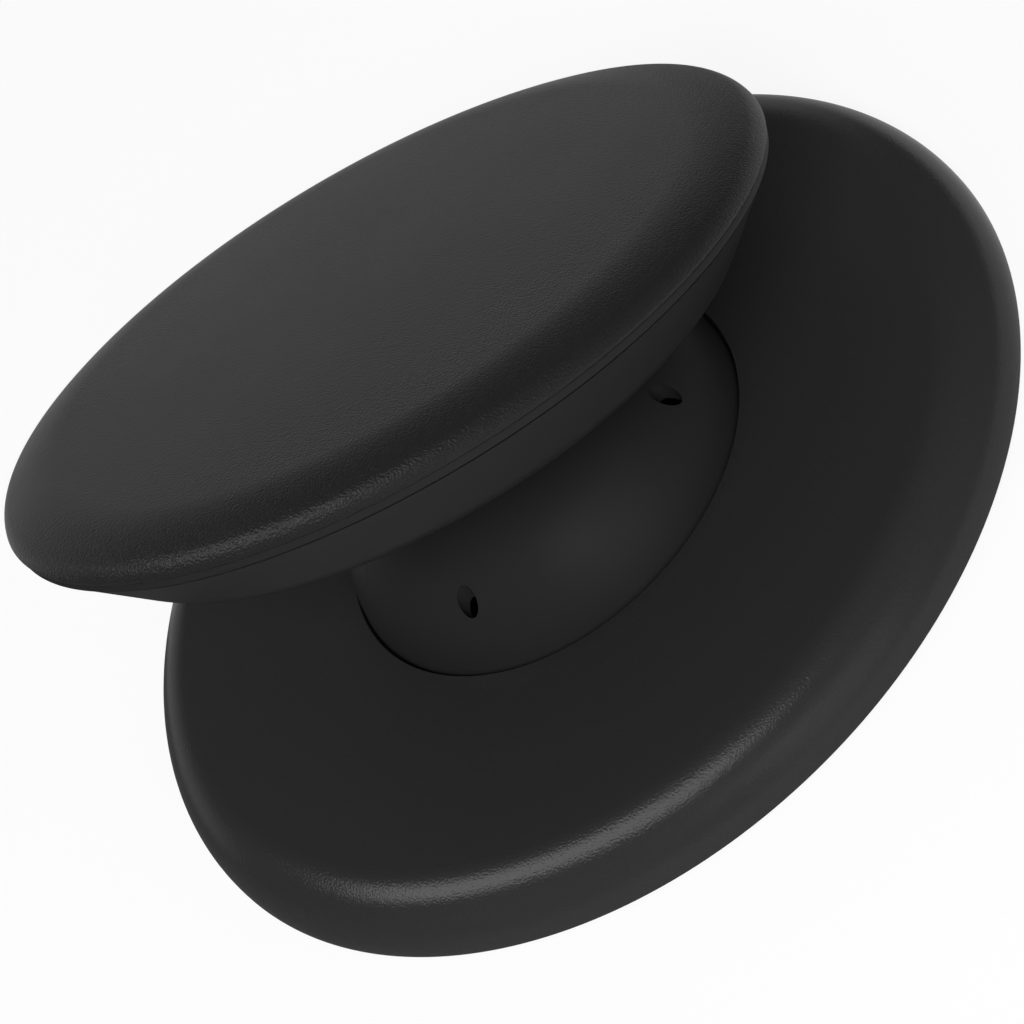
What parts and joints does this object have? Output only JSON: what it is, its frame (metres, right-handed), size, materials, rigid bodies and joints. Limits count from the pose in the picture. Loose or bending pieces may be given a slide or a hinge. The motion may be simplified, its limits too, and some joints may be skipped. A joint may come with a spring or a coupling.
{
  "type": "magnetic phone grip",
  "caption": "Round magnetic phone grip: a flat magnet base, a domed hub that turns in it, and a padded top that leans on a ball joint.",
  "frame": {"origin": "middle of the phone side of the base, on the plane that meets the phone", "axes": "+Z along the base's axis towards the grip top; X is the axis that the top leans about; the raised side of the top is at -Y"},
  "size_m": [0.06, 0.06, 0.0285],
  "materials": {
    "contact_pad": "fine matt soft-touch sheet",
    "base_plate": "moulded, fine spark texture",
    "base_cover": "fine leather-like grain, satin",
    "shield": "rolled strip",
    "glide": "smooth white low-friction plastic",
    "hub": "smooth satin moulding",
    "ball_stud": "turned and polished ball",
    "steel": "zinc-plated fasteners",
    "bowl": "smooth satin moulding",
    "seat": "low-friction moulding",
    "carrier": "smooth satin edge",
    "grip_pad": "fine grained synthetic leather",
    "magnet": "nickel-plated"
  },
  "bodies": {
    "base": {"contact_pad": "contact_pad", "base_plate": "base_plate", "base_cover": "base_cover", "shield_ring": "shield", "glide_ring": "glide", "magnet_01": "magnet", "magnet_02": "magnet", "magnet_03": "magnet", "magnet_04": "magnet", "magnet_05": "magnet", "magnet_06": "magnet", "magnet_07": "magnet", "magnet_08": "magnet", "magnet_09": "magnet", "magnet_10": "magnet", "magnet_11": "magnet", "magnet_12": "magnet", "magnet_13": "magnet", "magnet_14": "magnet", "magnet_15": "magnet", "magnet_16": "magnet"},
    "hub": {"hub_dome": "hub", "ball_stud": "ball_stud", "stud_washer": "steel", "stud_screw": "steel"},
    "top": {"top_bowl": "bowl", "ball_seat": "seat", "top_carrier": "carrier", "grip_pad": "grip_pad", "seat_screw_1": "steel", "seat_screw_2": "steel", "seat_screw_3": "steel"}
  },
  "joints": [
    {"name": "hub_turn", "type": "hinge", "parent": "base", "child": "hub", "pos_m": [0, 0, 0.002], "axis": [0, 0, 1], "continuous": true},
    {"name": "top_lean", "type": "hinge", "parent": "hub", "child": "top", "pos_m": [0, 0, 0.019], "axis": [1, 0, 0], "range_deg": [0, 39.7]}
  ]
}
